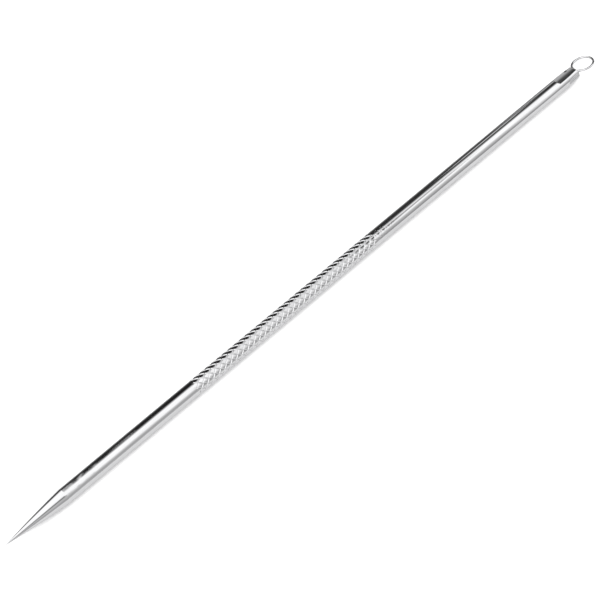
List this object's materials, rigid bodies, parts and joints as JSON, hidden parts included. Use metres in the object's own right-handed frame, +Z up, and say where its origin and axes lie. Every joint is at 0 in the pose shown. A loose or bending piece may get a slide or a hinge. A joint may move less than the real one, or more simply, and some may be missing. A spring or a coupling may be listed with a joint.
{
  "type": "blackhead extractor",
  "caption": "Slim polished steel skin tool: a knurled round rod with a sharp lancet point at one end and a small wire loop at the other.",
  "frame": {"origin": "middle of the part's box on the plane it lies on, straight below the rod's axis", "axes": "+X along the rod from the lancet point to the wire loop, +Z up from the plane the rod lies on, +Y across the rod towards the side where the loop leans down"},
  "size_m": [0.1228, 0.0036, 0.0025],
  "materials": {
    "polished_steel": "mirror polished stainless steel, with a diamond knurl on the grip",
    "bright_wire": "bright drawn stainless steel wire",
    "solder": "dull grey silver solder"
  },
  "bodies": {
    "root": {"handle_rod": "polished_steel", "wire_loop": "bright_wire", "solder_fill": "solder"}
  },
  "joints": []
}
